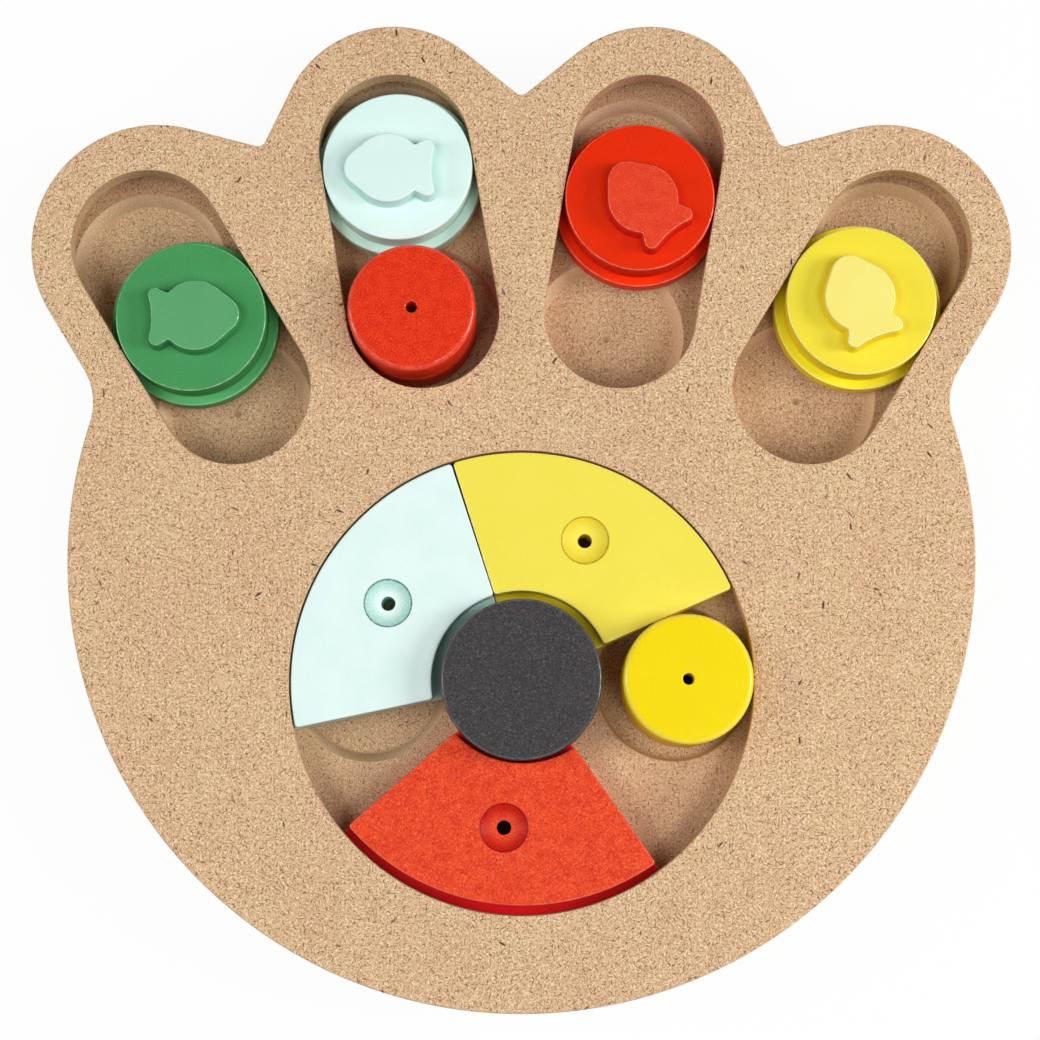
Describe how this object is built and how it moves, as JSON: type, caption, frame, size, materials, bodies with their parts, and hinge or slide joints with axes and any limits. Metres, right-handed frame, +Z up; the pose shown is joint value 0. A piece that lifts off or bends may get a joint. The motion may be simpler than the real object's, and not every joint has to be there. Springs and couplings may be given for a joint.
{
  "type": "cat puzzle feeder board",
  "caption": "Paw-shaped wooden puzzle feeder for cats: sliding toe covers, dial sectors that turn round a knob, and lift-off cups, all over round treat wells.",
  "frame": {"origin": "on the table, under the middle of the board's outline", "axes": "+Z up, +Y towards the toes, +X to the right seen from above with the toes away"},
  "size_m": [0.241, 0.2416, 0.03],
  "materials": {
    "mdf": "raw sanded fibreboard",
    "black_paint": "matte black paint on fibreboard",
    "rubber_pad": "matte",
    "zinc_steel": "zinc plated",
    "green_paint": "satin green paint on fibreboard",
    "mint_paint": "satin mint paint on fibreboard",
    "red_paint": "satin red paint on fibreboard",
    "yellow_paint": "satin yellow paint on fibreboard"
  },
  "bodies": {
    "board": {"base_board": "mdf", "top_board": "mdf", "rubber_feet": "rubber_pad", "centre_post": "mdf", "centre_knob": "black_paint", "knob_screw": "zinc_steel"},
    "green_slider": {"green_slider_flange": "green_paint", "green_slider_cap": "green_paint", "green_fish": "green_paint"},
    "mint_slider": {"mint_slider_flange": "mint_paint", "mint_slider_cap": "mint_paint", "mint_fish": "mint_paint"},
    "red_slider": {"red_slider_flange": "red_paint", "red_slider_cap": "red_paint", "red_fish": "red_paint"},
    "yellow_slider": {"yellow_slider_flange": "yellow_paint", "yellow_slider_cap": "yellow_paint", "yellow_fish": "yellow_paint"},
    "yellow_sector": {"yellow_sector_flange": "yellow_paint", "yellow_sector_plate": "yellow_paint"},
    "mint_sector": {"mint_sector_flange": "mint_paint", "mint_sector_plate": "mint_paint"},
    "red_sector": {"red_sector_flange": "red_paint", "red_sector_plate": "red_paint"},
    "red_cup": {"red_cup_ring": "red_paint", "red_cup_lid": "red_paint"},
    "yellow_cup": {"yellow_cup_ring": "yellow_paint", "yellow_cup_lid": "yellow_paint"}
  },
  "joints": [
    {"name": "green_slide", "type": "slide", "parent": "board", "child": "green_slider", "axis": [-0.5195, 0.8545, 0], "range_m": [-0.0205, 0.0215]},
    {"name": "mint_slide", "type": "slide", "parent": "board", "child": "mint_slider", "axis": [-0.1702, 0.9854, 0], "range_m": [0, 0.00491]},
    {"name": "red_slide", "type": "slide", "parent": "board", "child": "red_slider", "axis": [0.1702, 0.9854, 0], "range_m": [-0.0291, 0.0129]},
    {"name": "yellow_slide", "type": "slide", "parent": "board", "child": "yellow_slider", "axis": [0.5195, 0.8545, 0], "range_m": [-0.0252, 0.0168]},
    {"name": "yellow_turn", "type": "hinge", "parent": "board", "child": "yellow_sector", "pos_m": [0, -0.04177, 0.011], "axis": [0, 0, 1], "range_deg": [0, 24]},
    {"name": "mint_turn", "type": "hinge", "parent": "yellow_sector", "child": "mint_sector", "pos_m": [0, -0.04177, 0.011], "axis": [0, 0, 1], "range_deg": [0, 24]},
    {"name": "red_turn", "type": "hinge", "parent": "board", "child": "red_sector", "pos_m": [0, -0.04177, 0.011], "axis": [0, 0, 1], "range_deg": [-24, 28]},
    {"name": "red_cup_lift", "type": "slide", "parent": "board", "child": "red_cup", "axis": [0, 0, 1], "range_m": [0, 0.04]},
    {"name": "yellow_cup_lift", "type": "slide", "parent": "board", "child": "yellow_cup", "axis": [0, 0, 1], "range_m": [0, 0.04]}
  ]
}
